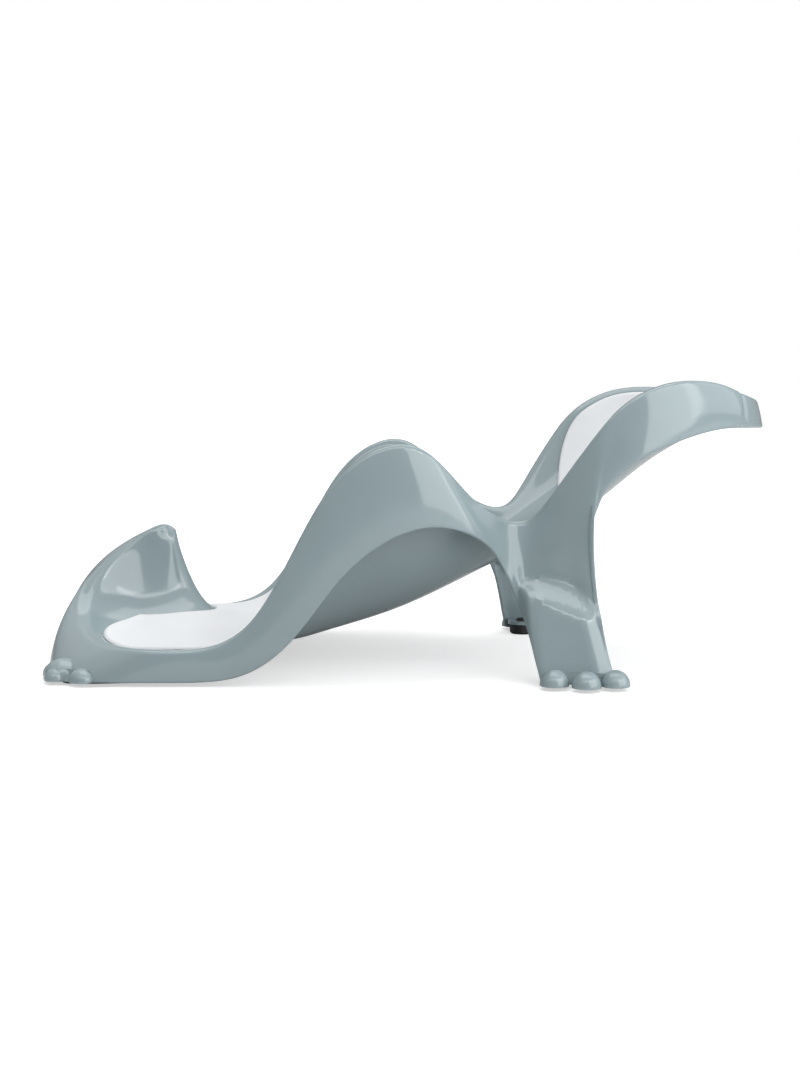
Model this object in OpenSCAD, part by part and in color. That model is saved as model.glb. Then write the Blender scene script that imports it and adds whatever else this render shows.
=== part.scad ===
// Reclining bath seat for a baby: one moulded shell, two soft pads and four rubber feet.
// The shell is a smooth skin drawn through ribs. Each rib starts on the centre line, crosses the
// seat, climbs over the rounded rim and runs down the skirt to its lower edge.

/* [Size] */
// Length from the skirt's front edge to the end of the headrest
seat_length = 575; // [535:5:615]
// Width over the crowns of the seat's rims
rim_width = 276; // [256:2:296]
// Height of the headrest's rim
head_height = 223.5; // [203.5:5:243.5]

/* [Shell] */
// Thickness of the moulded wall
wall = 3; // [2.4:0.2:3.4]
// Half width of the rounded rim
rim_round = 5; // [4.5:0.5:6]
// Height of the skirt's lower edge and of the toes over the floor
edge_height = 3; // [2:0.5:4]
// How far the ledge on each rear leg stands out
ledge_depth = 10; // [6:1:12]
// Height of the ledge on each rear leg
ledge_height = 62; // [56:1:66]

/* [Paws] */
// Radius of a rear toe
rear_toe_radius = 11.5; // [10.5:0.5:12.5]
// Radius of a front toe
front_toe_radius = 10; // [9:0.5:11]
// Height of the underside of the flat web that a rubber foot plugs into
web_height = 9; // [7:0.5:10]

/* [Pads] */
// Thickness of the soft pads
pad_thickness = 3.5; // [2.5:0.5:4.5]

/* [Rubber feet] */
// Radius of a foot's round pad on the floor
foot_radius = 11; // [9:0.5:12]
// Radius of the stem that goes through the web
stem_radius = 4; // [3:0.5:5]
// Clearance between a stem and its hole, all round
stem_clearance = 0.2; // [0.1:0.05:0.3]

/* [Hidden] */

// One row for each rib from the front round to the head end, on the left half (y over 0):
// centre line, inner shoulder, floor corner, crown of the rim, lower edge, and how far the
// skirt bulges. Lengths in millimetres from the front of the seat, the middle and the floor.
STATIONS = [
    // the pommel, from its tip down its leading edge
    [[98, 0, 105.5], [98, 0, 106], [94, 0, 109], [88, 0, 110], [2.5, 0, 0], 17],
    [[99.5, 0, 99], [99, 7, 99], [91, 9, 98], [80, 7.5, 106], [3, 20, 0], 16],
    [[102, 0, 89.5], [101, 9.5, 89], [86, 13, 82], [66, 10.5, 99.5], [4, 40, 0], 13],
    // the thigh hollow and the ridge round it
    [[109, 0, 71], [107, 11.5, 69], [75, 28, 43], [39.5, 31, 73], [9, 76, 0], 8],
    [[119, 0, 53], [115, 17, 49], [76, 57, 27], [34.5, 64, 44.5], [16, 106, 0], 4],
    [[132, 0, 40], [127, 32, 35], [88, 95, 26], [56, 108, 29.5], [32, 129, 0], 2],
    // the seat
    [[149, 0, 33], [146, 45, 29], [113, 115, 25], [95, 131.5, 27], [76, 138, 1.5], 1],
    [[170, 0, 27], [168, 52, 25], [147, 117, 25], [137, 134, 28.8], [128, 139.5, 1.8], 1],
    // the side wall up to the hump
    [[195, 0, 22.5], [195, 56, 23], [178, 115, 35], [171, 135, 49], [168, 142, 9], 1.5],
    [[223, 0, 28], [223, 56, 29], [208, 113, 56], [199, 137, 95], [203, 146, 37], 2],
    [[251, 0, 36], [251, 56, 37], [237, 112, 72], [228, 138, 145.5], [237, 148, 80], 2.5],
    [[280, 0, 45.5], [280, 54, 47], [270, 109, 80], [262, 137.5, 174], [275, 147, 108.5], 3],
    [[310, 0, 59], [310, 50, 60], [303, 101, 84], [297, 133, 173.5], [310, 141, 115.5], 3],
    // the waist, with the arch below it
    [[340, 0, 74], [340, 45, 75], [335, 88, 91], [328, 118, 142], [342, 124, 104], 2],
    [[367, 0, 88], [367, 40, 89], [363, 76, 98], [356, 94, 121.5], [364.5, 107, 71], 1],
    // the rear leg, from its front corner to its back corner
    [[393, 0, 103], [393, 40, 104], [387, 76, 110], [381, 91, 121.5], [384, 135, 0], 0],
    [[429, 0, 125.5], [429, 46, 126.5], [422, 88, 134], [408.5, 108.5, 156.5], [436, 147, 0], 0],
    // the headrest
    [[453, 0, 141], [453, 50, 142], [446, 93, 153], [426, 117.5, 184.5], [427.5, 136, 77], 1],
    [[477, 0, 157], [477, 52, 158], [468, 94, 170], [448, 120, 208.5], [431, 129, 138], 2],
    [[501, 0, 173], [501, 48, 174], [493, 88, 185], [481, 111.5, 223], [470, 125, 171], 3],
    [[521, 0, 184.5], [521, 40, 185.5], [516, 74, 194], [519, 91, 223.5], [517, 102, 185.5], 3],
    [[535, 0, 192], [539, 27, 193.5], [540, 50, 199], [551, 58, 215.5], [559, 66, 188.2], 2.5],
    [[540, 0, 195], [546, 0, 197.5], [554, 0, 202.5], [567, 0, 211.5], [577.5, 0, 187.8], 2],
];
LAST = len(STATIONS) - 1;
SPINE = 0;
INNER = 1;
FLOOR = 2;
CROWN = 3;
EDGE = 4;
BULGE = 5;
// The stations' own length, width and height, and how far they are stretched to the sizes above
front_end = STATIONS[0][EDGE][0];
head_end = STATIONS[LAST][EDGE][0];
drawn_width = 2 * max([for (s = STATIONS) s[CROWN][1]]);
drawn_height = max([for (s = STATIONS) s[CROWN][2]]);
stretch = [seat_length / (head_end - front_end), rim_width / drawn_width, head_height / drawn_height];
// The ribs that end on the two lower corners of the rear leg, where the edge turns sharply
LEG_FRONT = 15;
LEG_BACK = 16;

// Smooth curves through the stations. The shell is the same on both sides, so each curve is
// carried on past its ends by its own mirror image.
function mirrored(p) = is_num(p) ? p : [p[0], -p[1], p[2]];
REACH = 3;
function before(p) = [for (i = [REACH:-1:1]) mirrored(p[i])];
function after(p) = [for (i = [1:REACH]) mirrored(p[len(p) - 1 - i])];

// Slopes of a cubic curve with an even bend through evenly numbered points
function lean(p, i) =
    i == 0 ? 3 * (p[1] - p[0]) : i == len(p) - 1 ? 3 * (p[i] - p[i - 1]) : 3 * (p[i + 1] - p[i - 1]);
function weight(p, i) = i == 0 || i == len(p) - 1 ? 2 : 4;
function sweep_down(p, i = 0, c = 0, d = undef) =
    i == len(p) ? [] :
    let (k = 1 / (weight(p, i) - c), e = (is_undef(d) ? lean(p, i) : lean(p, i) - d) * k)
    concat([[k, e]], sweep_down(p, i + 1, k, e));
function sweep_up(f, i = 0) =
    i == len(f) - 1 ? [f[i][1]] :
    let (rest = sweep_up(f, i + 1)) concat([f[i][1] - f[i][0] * rest[0]], rest);
function slopes(p) = sweep_up(sweep_down(p));

function curve(p, open_start = false, open_end = false) =
    let (q = concat(open_start ? [] : before(p), p, open_end ? [] : after(p)))
    [q, slopes(q), open_start ? 0 : REACH];
function along(c, u) =
    let (v = u + c[2], i = min(floor(v), len(c[0]) - 2), t = v - i)
    c[0][i] * (1 + 2 * t) * pow(1 - t, 2) + c[1][i] * t * pow(1 - t, 2)
    + c[0][i + 1] * t * t * (3 - 2 * t) + c[1][i + 1] * t * t * (t - 1);

function sized(p) = [p[0] * stretch[0], p[1] * stretch[1], p[2] * stretch[2]];
function on_edge(p) = sized(p) + [0, 0, edge_height];
spine_line = curve([for (s = STATIONS) sized(s[SPINE])]);
inner_line = curve([for (s = STATIONS) sized(s[INNER])]);
floor_line = curve([for (s = STATIONS) sized(s[FLOOR])]);
rim_line = curve([for (s = STATIONS) sized(s[CROWN])]);
bulge_line = curve([for (s = STATIONS) s[BULGE] * stretch[1]]);
arch_edge = curve([for (i = [0:LEG_FRONT]) on_edge(STATIONS[i][EDGE])], open_end = true);
head_edge = curve([for (i = [LEG_BACK:LAST]) on_edge(STATIONS[i][EDGE])], open_start = true);
leg_front = on_edge(STATIONS[LEG_FRONT][EDGE]);
leg_back = on_edge(STATIONS[LEG_BACK][EDGE]);
function edge_at(u) =
    u <= LEG_FRONT ? along(arch_edge, u) :
    u >= LEG_BACK ? along(head_edge, u - LEG_BACK) :
    leg_front + (leg_back - leg_front) * (u - LEG_FRONT);

function unit(v) = norm(v) > 0 ? v / norm(v) : v;
function flat(v) = [v[0], v[1], 0];
function smooth_step(t) = let (c = min(1, max(0, t))) c * c * (3 - 2 * c);

// Guide points of one rib, from the centre line to the lower edge. The rim is rounded over
// rim_round each way, and the skirt is a straight run with a slight bulge.
SHOULDER = 11;
RIM_LIFT = 0.6;
SKIRT_PARTS = [0.22, 0.42, 0.62, 0.81, 1];
function skirt_point(top, run, out, bulge, t) = top + run * t + out * bulge * 4 * t * (1 - t);
function guides(u) =
    let (
        low = along(floor_line, u),
        crown = along(rim_line, u) + [0, 0, RIM_LIFT],
        edge = edge_at(u),
        away = unit(flat(edge - low)),
        inner = crown - away * rim_round,
        outer = crown + away * rim_round,
        wall_run = low - inner,
        run = edge - outer,
        out = unit(away - unit(run) * (away * unit(run))),
        first = min(SHOULDER / norm(run), 0.2),
        bulge = along(bulge_line, u)
    )
    concat(
        [
            along(spine_line, u),
            along(inner_line, u),
            low,
            inner + unit(wall_run) * min(SHOULDER, 0.4 * norm(wall_run)),
            inner,
            outer,
            skirt_point(outer, run, out, bulge, first)
        ],
        [for (t = SKIRT_PARTS) skirt_point(outer, run, out, bulge, t < 1 ? first + (1 - first) * t : 1)]
    );

// A smooth line drawn by the guide points, starting square to the centre line
function blend(a, b, c, d, t) =
    (a * pow(1 - t, 3) + b * (3 * t * t * t - 6 * t * t + 4)
    + c * (3 * t * t + 3 * t + 1 - 3 * t * t * t) + d * t * t * t) / 6;
function rib_point(g, w) =
    let (n = len(g) - 1, k = min(floor(w), n - 1), t = w - k)
    blend(
        k == 0 ? mirrored(g[1]) : g[k - 1],
        g[k],
        g[k + 1],
        k == n - 1 ? 2 * g[n] - g[n - 1] : g[k + 2],
        t
    );

// The ledge pushes the lower part of each rear leg outwards. Behind the waist it falls a little
// over the leg's length, whose shares say where that starts and how long it takes. Only places
// past the inner guide point of the rim lie on the outer side.
WAIST = 13;
LEDGE_TURN = 0.3;
LEDGE_RUN = 0.77;
LEDGE_FALL = 12;
LEDGE_SOFT = 16;
OUTER_SIDE = 4;
waist_x = STATIONS[WAIST][SPINE][0] * stretch[0];
leg_length = leg_back[0] - leg_front[0];
function ledge(p) =
    let (
        turned = ((p[0] - leg_front[0]) / leg_length - LEDGE_TURN) / LEDGE_RUN,
        height = ledge_height - LEDGE_FALL * smooth_step(turned),
        share = smooth_step((height + LEDGE_SOFT / 2 - p[2]) / LEDGE_SOFT)
    )
    p[0] > waist_x ? [0, ledge_depth * share, 0] : [0, 0, 0];
function skin(u, w) = let (p = rib_point(guides(u), w)) w > OUTER_SIDE ? p + ledge(p) : p;

// Where the skin is sampled, along the seat and across it
RIBS = 58;
ACROSS = [0, 0.5, 1, 1.5, 2, 2.5, 3, 3.5, 4, 4.5, 5, 5.5, 6, 7, 8, 8.35, 8.7, 9, 10, 11];
ENDS = len(ACROSS) - 1;

rib_rows = [
    for (i = [0:RIBS])
    let (g = guides(i * LAST / RIBS))
    [for (w = ACROSS) let (p = rib_point(g, w)) w > OUTER_SIDE ? p + ledge(p) : p]
];

// Outward direction of the skin at one point of the rows
function tangent_along(i, j) =
    i == 0 ? [0, 1, 0] : i == RIBS ? [0, -1, 0] : rib_rows[i + 1][j] - rib_rows[i - 1][j];
function tangent_across(i, j) =
    j == 0 ? (i == 0 || i == RIBS ? rib_rows[i][1] - rib_rows[i][0] : [0, 1, 0]) :
    rib_rows[i][min(j + 1, ENDS)] - rib_rows[i][j - 1];
function outward(i, j) = unit(cross(tangent_along(i, j), tangent_across(i, j)));
HALF_WEB = 0.4;
function keep_side(i, j, p) =
    j == 0 || i == 0 || i == RIBS ? [p[0], 0, p[2]] : [p[0], max(p[1], HALF_WEB), p[2]];
under_rows = [
    for (i = [0:RIBS])
    [for (j = [0:ENDS]) keep_side(i, j, rib_rows[i][j] - wall * outward(i, j))]
];

// A closed skin: the ribs of the left half and their mirror images make one ring, with the
// outer side, the under side and the lower edge between them
RING = 2 * RIBS;
function row_of(i) = i <= RIBS ? i : RING - i;
function ring_point(rows, i, j) = i <= RIBS ? rows[i][j] : mirrored(rows[RING - i][j]);
SIDE = RIBS + 1 + RING * ENDS;
function at(layer, i, j) =
    layer * SIDE + (j == 0 ? row_of(i % RING) : RIBS + 1 + (i % RING) * ENDS + j - 1);
skin_points = [
    for (rows = [rib_rows, under_rows])
    each concat(
        [for (i = [0:RIBS]) rows[i][0]],
        [for (i = [0:RING - 1], j = [1:ENDS]) ring_point(rows, i, j)]
    )
];
function halves(a, b, c, d) = [[a, b, c], [a, c, d]];
skin_faces = [
    for (i = [0:RING - 1], j = [0:ENDS - 1])
    each concat(
        halves(at(0, i, j), at(0, i, j + 1), at(0, i + 1, j + 1), at(0, i + 1, j)),
        halves(at(1, i, j), at(1, i + 1, j), at(1, i + 1, j + 1), at(1, i, j + 1))
    )
];
edge_faces = [
    for (i = [0:RING - 1])
    each halves(at(0, i, ENDS), at(1, i, ENDS), at(1, i + 1, ENDS), at(0, i + 1, ENDS))
];

middle = [(front_end + head_end) / 2 * stretch[0], 0, 0];

// Paws. A toe is a hollow dome, open below, and a web inside each paw carries a rubber foot.
// Each spot on the left side is a place on the skirt's lower edge, by the number of its station,
// and how far the spot lies outside the edge there, in millimetres.
FRONT_TOES = [[4.14, -4.3], [4.65, -2.1], [5.26, -6.4]];
INSTEP = [4.57, -16.6];
INSTEP_RADIUS = 14;
REAR_TOES = [[15.11, 5.7], [15.5, 9.1], [15.92, -0.9]];
FRONT_FOOT = [4.62, -16.8];
REAR_FOOT = [15.26, -23.1];
FRONT_WEB = [[4.12, -11.5], [4.7, -6.2], [5.34, -9.1]];
REAR_WEB = [[15.12, -7.4], [15.88, -4.9]];
WEB_CORNER = 4;
WEB_MARGIN = 1.5;
TOE_RISE = 3;

function spot(s, z = 0) =
    let (
        u = s[0],
        edge = edge_at(u),
        away = unit(flat(edge - along(floor_line, u))),
        out = s[1] + (u > LEG_FRONT ? ledge_depth : 0)
    )
    flat(edge + away * out) + [0, 0, z];

module toe(place, radius) {
    translate(spot(place, edge_height + TOE_RISE)) sphere(r = radius, $fn = 16);
}
module toes(shrink = 0) {
    for (p = FRONT_TOES) toe(p, front_toe_radius - shrink);
    for (p = REAR_TOES) toe(p, rear_toe_radius - shrink);
    toe(INSTEP, INSTEP_RADIUS - shrink);
}
module web(foot, corners) {
    hull() {
        translate(spot(foot, web_height)) cylinder(r = foot_radius + WEB_MARGIN, h = wall, $fn = 32);
        for (p = corners)
            translate(spot(p, web_height)) cylinder(r = WEB_CORNER, h = wall, $fn = 16);
    }
}
module both_sides() {
    children();
    mirror([0, 1, 0]) children();
}
POCKET_CLEARANCE = 0.5;
module foot_sockets() {
    for (p = [FRONT_FOOT, REAR_FOOT])
        translate(spot(p, -web_height)) {
            cylinder(r = stem_radius + stem_clearance, h = 3 * web_height + wall, $fn = 32);
            cylinder(r = foot_radius + POCKET_CLEARANCE, h = 2 * web_height, $fn = 48);
        }
}
module below_toes() {
    depth = 2 * INSTEP_RADIUS;
    translate([-depth, -rim_width, edge_height - depth])
        cube([seat_length + 2 * depth, 2 * rim_width, depth]);
}

module shell() {
    color("lightslategray")
    translate(-middle)
    difference() {
        union() {
            difference() {
                union() {
                    polyhedron(points = skin_points, faces = concat(skin_faces, edge_faces), convexity = 10);
                    both_sides() toes();
                }
                both_sides() toes(wall);
            }
            both_sides() {
                web(FRONT_FOOT, FRONT_WEB);
                web(REAR_FOOT, REAR_WEB);
            }
        }
        both_sides() foot_sockets();
        below_toes();
    }
}

// Pads lie on the skin, over a thin bed. A pad is a patch of it that reaches, on each rib u, from
// one place across the rib to another, with its top edge eased down all round.
PAD_GAP = 0.6;
PAD_EDGE = 0.35;
PAD_EASE = 0.25;
PAD_ACROSS = [0, 0.06, 0.3, 0.6, 0.84, 0.95, 1];
PAD_NEAR_SPINE = 0.001;

function skin_normal(u, w) =
    let (e = 0.04, a = max(0, u - e), b = min(LAST, u + e), across = skin(u, w + e) - skin(u, max(w - e, 0)))
    w < PAD_NEAR_SPINE ? unit(cross(skin(b, 0) - skin(a, 0), [0, 1, 0])) :
    u > LAST - PAD_NEAR_SPINE ? unit(cross([0, -1, 0], across)) :
    unit(cross(skin(b, w) - skin(a, w), across));
function on_skin(u, w, lift) =
    let (p = skin(u, w) + lift * skin_normal(u, w))
    w < PAD_NEAR_SPINE || u > LAST - PAD_NEAR_SPINE ? [p[0], 0, p[2]] : p;

// Full height inside the pad, and a thin edge at its outline
function eased(t) = PAD_EDGE + (1 - PAD_EDGE) * smooth_step(t / PAD_EASE);
function pad_point(u, v, span, fade, top) =
    let (
        from = span(u)[0],
        to = span(u)[1],
        inner_fade = from > PAD_NEAR_SPINE ? eased(v * 2) : 1,
        outer_fade = eased((1 - v) * 2),
        lift = top ? pad_thickness * min(fade, min(inner_fade, outer_fade)) : PAD_GAP
    )
    on_skin(u, from + (to - from) * v, lift);

module pad(ribs, fades, span) {
    rows = len(ribs) - 1;
    cols = len(PAD_ACROSS) - 1;
    grid = [
        for (side = [0, 1], top = [0, 1], i = [0:rows], v = PAD_ACROSS)
        let (p = pad_point(ribs[i], v, span, fades[i], top == 1)) side == 0 ? p : mirrored(p)
    ];
    function id(side, top, i, j) = ((side * 2 + top) * (rows + 1) + i) * (cols + 1) + j;
    function facing(side, q) = side == 0 ? q : [q[3], q[2], q[1], q[0]];
    function quad(side, q) = let (f = facing(side, q)) halves(f[0], f[1], f[2], f[3]);
    tops = [
        for (s = [0, 1], i = [0:rows - 1], j = [0:cols - 1]) each concat(
            quad(s, [id(s, 1, i, j), id(s, 1, i, j + 1), id(s, 1, i + 1, j + 1), id(s, 1, i + 1, j)]),
            quad(s, [id(s, 0, i + 1, j), id(s, 0, i + 1, j + 1), id(s, 0, i, j + 1), id(s, 0, i, j)])
        )
    ];
    outlines = [
        for (s = [0, 1], i = [0:rows - 1]) each
            quad(s, [id(s, 1, i, cols), id(s, 0, i, cols), id(s, 0, i + 1, cols), id(s, 1, i + 1, cols)])
    ];
    inlets = [
        for (s = [0, 1], i = [0:rows - 1])
        if (span(ribs[i])[0] > PAD_NEAR_SPINE) each
            quad(s, [id(s, 1, i + 1, 0), id(s, 0, i + 1, 0), id(s, 0, i, 0), id(s, 1, i, 0)])
    ];
    starts = [
        for (s = [0, 1], j = [0:cols - 1]) each
            quad(s, [id(s, 0, 0, j), id(s, 0, 0, j + 1), id(s, 1, 0, j + 1), id(s, 1, 0, j)])
    ];
    finishes = ribs[rows] > LAST - PAD_NEAR_SPINE ? [] : [
        for (s = [0, 1], j = [0:cols - 1]) each
            quad(s, [id(s, 1, rows, j), id(s, 1, rows, j + 1), id(s, 0, rows, j + 1), id(s, 0, rows, j)])
    ];
    polyhedron(points = grid, faces = concat(tops, outlines, inlets, starts, finishes), convexity = 6);
}

// The seat pad is a U round the foot of the pommel that closes behind it
SEAT_PAD_START = 4.25;
SEAT_PAD_CLOSES = 5.05;
SEAT_PAD_STRAIGHT = 8.2;
SEAT_PAD_END = 9.2;
PAD_RIM = 3.2;
seat_span = function(u)
    let (
        tip = max(0, (SEAT_PAD_CLOSES - u) / (SEAT_PAD_CLOSES - SEAT_PAD_START)),
        tail = max(0, (u - SEAT_PAD_STRAIGHT) / (SEAT_PAD_END - SEAT_PAD_STRAIGHT)),
        middle_of_lobe = 2.15,
        full = PAD_RIM * sqrt(max(0.006, 1 - tail * tail)),
        pinch = sqrt(max(0.01, 1 - tip * tip))
    )
    [
        tip > 0 ? middle_of_lobe * pow(tip, 0.6) * 0.92 : 0,
        tip > 0 ? middle_of_lobe + (full - middle_of_lobe) * pinch : full
    ];
// The head pad fills the headrest up to its end, and its lower end is round
HEAD_PAD_START = 15.9;
HEAD_PAD_STRAIGHT = 17.6;
head_span = function(u)
    let (nose = max(0, (HEAD_PAD_STRAIGHT - u) / (HEAD_PAD_STRAIGHT - HEAD_PAD_START)))
    [0, PAD_RIM * sqrt(max(0.006, 1 - nose * nose))];

module seat_pad() {
    ribs = concat([SEAT_PAD_START, 4.32, 4.45, 4.7, 4.9, SEAT_PAD_CLOSES],
                  [for (u = [5.4:0.4:8.2]) u], [8.6, 8.9, 9.08, 9.16, SEAT_PAD_END]);
    fades = concat([PAD_EDGE, 0.8], [for (i = [0:14]) 1], [0.8, PAD_EDGE]);
    color("whitesmoke")
    translate(-middle) pad(ribs, fades, seat_span);
}

module head_pad() {
    ribs = concat([HEAD_PAD_START, 15.95, 16.05, 16.3, 16.6, 17], [for (i = [1:14]) 17 + i * 5 / 14]);
    fades = concat([PAD_EDGE, 0.8], [for (i = [0:17]) 1]);
    color("whitesmoke")
    translate(-middle) pad(ribs, fades, head_span);
}

// A rubber foot: a round pad on the floor under the web, a stem through it and a head above it
FOOT_CHAMFER = 1.5;
HEAD_EXTRA = 2;
HEAD_HEIGHT = 2;
module rubber_foot(place, side) {
    top = web_height + wall;
    color("black")
    translate((side > 0 ? spot(place) : mirrored(spot(place))) - middle)
    rotate_extrude($fn = 48)
    polygon([
        [0, 0],
        [foot_radius - FOOT_CHAMFER, 0],
        [foot_radius, FOOT_CHAMFER],
        [foot_radius, web_height],
        [stem_radius, web_height],
        [stem_radius, top],
        [stem_radius + HEAD_EXTRA, top],
        [stem_radius, top + HEAD_HEIGHT],
        [0, top + HEAD_HEIGHT]
    ]);
}
module foot_front_left() rubber_foot(FRONT_FOOT, 1);
module foot_front_right() rubber_foot(FRONT_FOOT, -1);
module foot_rear_left() rubber_foot(REAR_FOOT, 1);
module foot_rear_right() rubber_foot(REAR_FOOT, -1);

shell();
seat_pad();
head_pad();
foot_front_left();
foot_front_right();
foot_rear_left();
foot_rear_right();
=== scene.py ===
"""Reclining bath seat for a baby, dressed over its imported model.

The shell is worked out again at a fine pitch from the same stations as its solid, with a rounded
lower edge. Soft pads lie on it, toes stand round its paws and rubber feet carry it.
"""

import math
from types import SimpleNamespace

import bmesh
import bpy
import numpy as np
from bpy.props import FloatProperty, FloatVectorProperty, IntProperty, PointerProperty
from mathutils import Matrix, Vector


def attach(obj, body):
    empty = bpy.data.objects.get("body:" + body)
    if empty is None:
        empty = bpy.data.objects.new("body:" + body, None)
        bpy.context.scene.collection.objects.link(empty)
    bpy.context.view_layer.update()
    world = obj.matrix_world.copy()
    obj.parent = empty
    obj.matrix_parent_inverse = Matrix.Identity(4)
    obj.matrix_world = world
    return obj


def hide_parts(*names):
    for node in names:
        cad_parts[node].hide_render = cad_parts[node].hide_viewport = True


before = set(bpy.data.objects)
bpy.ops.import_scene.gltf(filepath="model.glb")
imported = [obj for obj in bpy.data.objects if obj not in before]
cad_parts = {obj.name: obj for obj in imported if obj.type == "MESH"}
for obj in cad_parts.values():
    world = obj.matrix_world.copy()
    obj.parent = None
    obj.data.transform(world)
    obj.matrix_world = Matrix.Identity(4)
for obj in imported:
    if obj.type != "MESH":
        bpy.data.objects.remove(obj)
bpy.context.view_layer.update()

bl_info = {
    "name": "Baby bath seat",
    "version": (1, 0, 0),
    "blender": (4, 5, 0),
    "location": "View3D > Sidebar > Bath Seat",
    "description": "Makes a moulded baby bath seat with its pads, toes and rubber feet",
    "category": "Object",
}

MM = 0.001
LENGTH = 580.0
BODY = "root"

# One row for each rib from the front round to the head end, on the left half, in millimetres from
# the front of the seat, the middle and the floor: centre line, inner shoulder, floor corner,
# crown of the rim, lower edge, and how far the skirt bulges.
STATIONS = [
    # the pommel, from its tip down its leading edge
    [[98, 0, 105.5], [98, 0, 106], [94, 0, 109], [88, 0, 110], [2.5, 0, 3], 22.5],
    [[99.5, 0, 99], [99, 7, 99], [91, 9, 98], [80, 7.5, 106], [3, 20, 3], 20],
    [[102, 0, 89.5], [101, 9.5, 89], [86, 13, 82], [66, 10.5, 99.5], [4, 40, 3], 14.5],
    # the thigh hollow and the ridge round it
    [[109, 0, 71], [107, 11.5, 69], [75, 28, 43], [39.5, 31, 73], [9, 76, 3], 8],
    [[119, 0, 53], [115, 17, 49], [76, 57, 27], [34.5, 64, 44.5], [16, 106, 3], 4],
    [[132, 0, 40], [127, 32, 35], [88, 95, 26], [56, 108, 29.5], [32, 129, 3], 2],
    # the seat
    [[149, 0, 33], [146, 45, 29], [113, 115, 25], [95, 131.5, 27], [76, 138, 4.5], 1],
    [[170, 0, 27], [168, 52, 25], [147, 117, 25], [137, 134, 28.8], [128, 139.5, 4.8], 1],
    # the side wall up to the hump
    [[195, 0, 22.5], [195, 56, 23], [178, 115, 35], [171, 135, 49], [168, 142, 12], 1.5],
    [[223, 0, 28], [223, 56, 29], [208, 113, 56], [199, 137, 95], [203, 146, 40], 2],
    [[251, 0, 36], [251, 56, 37], [237, 112, 72], [228, 138, 145.5], [237, 148, 83], 2.5],
    [[280, 0, 45.5], [280, 54, 47], [270, 109, 80], [262, 137.5, 174], [275, 147, 111.5], 3],
    [[310, 0, 59], [310, 50, 60], [303, 101, 84], [297, 133, 173.5], [310, 141, 118.5], 3],
    # the waist, with the arch below it
    [[340, 0, 74], [340, 45, 75], [335, 88, 91], [328, 118, 142], [342, 124, 107], 2],
    [[367, 0, 88], [367, 40, 89], [363, 76, 98], [356, 94, 121.5], [364.5, 107, 74], 1],
    # the rear leg, from its front corner to its back corner
    [[393, 0, 103], [393, 40, 104], [387, 76, 110], [381, 91, 121.5], [384, 135, 3], 0],
    [[429, 0, 125.5], [429, 46, 126.5], [422, 88, 134], [402, 104.5, 148], [436, 147, 3], 0],
    # the headrest
    [[453, 0, 144], [453, 50, 145], [446, 93, 155], [426, 117.5, 184.5], [423.7, 128, 80], 1],
    [[477, 0, 163], [477, 52, 164], [468, 94, 174], [448, 120, 208.5], [429, 126, 141], 2],
    [[501, 0, 177.5], [501, 48, 178.5], [493, 88, 188.5], [481, 114, 223], [470, 127, 174], 3],
    [[521, 0, 187.5], [521, 40, 188.5], [516, 74, 196], [519, 92, 223.5], [517, 103, 188.5], 3],
    # the squared end of the headrest
    [[532, 0, 192.5], [535, 34, 194], [533, 61, 199], [541.5, 74.5, 216.5], [547, 81, 190.8], 1.5],
    [[538, 0, 195], [542.5, 17, 197], [547, 32, 202], [560, 43, 212], [568.5, 45, 190.8], 0.5],
    [[540, 0, 196], [546, 0, 198.5], [552, 0, 203], [567, 0, 210.5], [577.5, 0, 190.8], 0.5],
]
LAST = len(STATIONS) - 1
LEG_FRONT = 15
LEG_BACK = 16
MIRROR = np.array([1.0, -1.0, 1.0])
TINY = 1e-6
NO_LENGTH = 1e-9

# Each rib's guide points: the rim is the sixth of thirteen, and the skirt's share out its length
RIM_GUIDE = 5
GUIDES = 13
SKIRT_PARTS = (0.22, 0.42, 0.62, 0.81, 1.0)

# The rim: how far its two shoulders reach down, at most and as a share of what lies below, how
# much of the room to the middle it may take, the least slant to the middle that this is worked
# out with, and the steps in rib numbers and places over which directions are measured
SHOULDER = 11.0
SHOULDER_SHARE = 0.4
OUTER_SHOULDER = 5.0
OUTER_SHARE = 0.2
RIM_SHARE = 0.75
LEAST_SLANT = 0.01
RIM_STEP = 0.02
SKIN_STEP = 0.02

# The bead along the inner side of the seat's rim, by rib numbers
BEAD_DROP = 6.0
BEAD_FROM = 1.0
BEAD_TO = 6.5
BEAD_RUN = 1.5

# The rear leg's ledge: where it turns down along the leg, how it starts and ends, by rib
# numbers, and how deep the face over it is carved
WAIST_X = 340.0
LEG_FROM = 384.0
LEG_TO = 436.0
LEDGE_TURN = 0.3
LEDGE_RUN = 0.77
LEDGE_FALL = 14.0
LEDGE_SOFT = 20.0
LEDGE_TOP = 8.5
LEDGE_LOW = -0.5
LEDGE_TOP_TURN = (400.0, 432.0)
LEDGE_LOW_TURN = (378.0, 418.0)
LEDGE_CORNER = 0.18
LEDGE_START = 14.25
LEDGE_START_RUN = 0.45
LEDGE_FADE = 15.8
LEDGE_FADE_RUN = 0.25
LEDGE_FADE_DEPTH = 0.65
LEDGE_CARVE = 6.0
LEDGE_CARVE_RUN = 45.0

# The two corners of the rear leg, which are rounder higher up, by rib numbers
CORNER_SPREAD = 0.3
CORNER_FROM = 14.1
CORNER_TO = 16.9
CORNER_RUN = 0.4

# The fine crease across the side of the headrest's squared end, by rib numbers
TAB_CREASE = 20.97
TAB_CREASE_RUN = 0.09
TAB_CREASE_DEPTH = 1.3
TAB_CREASE_RIBS = 12

# The wall's rounded lower edge, the least distance of the under side from the middle, and the
# angle from which an edge is drawn crisp, in degrees
LIP_STEPS = 7
HALF_WEB = 0.4
SHARP_FROM = 35.0

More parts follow.
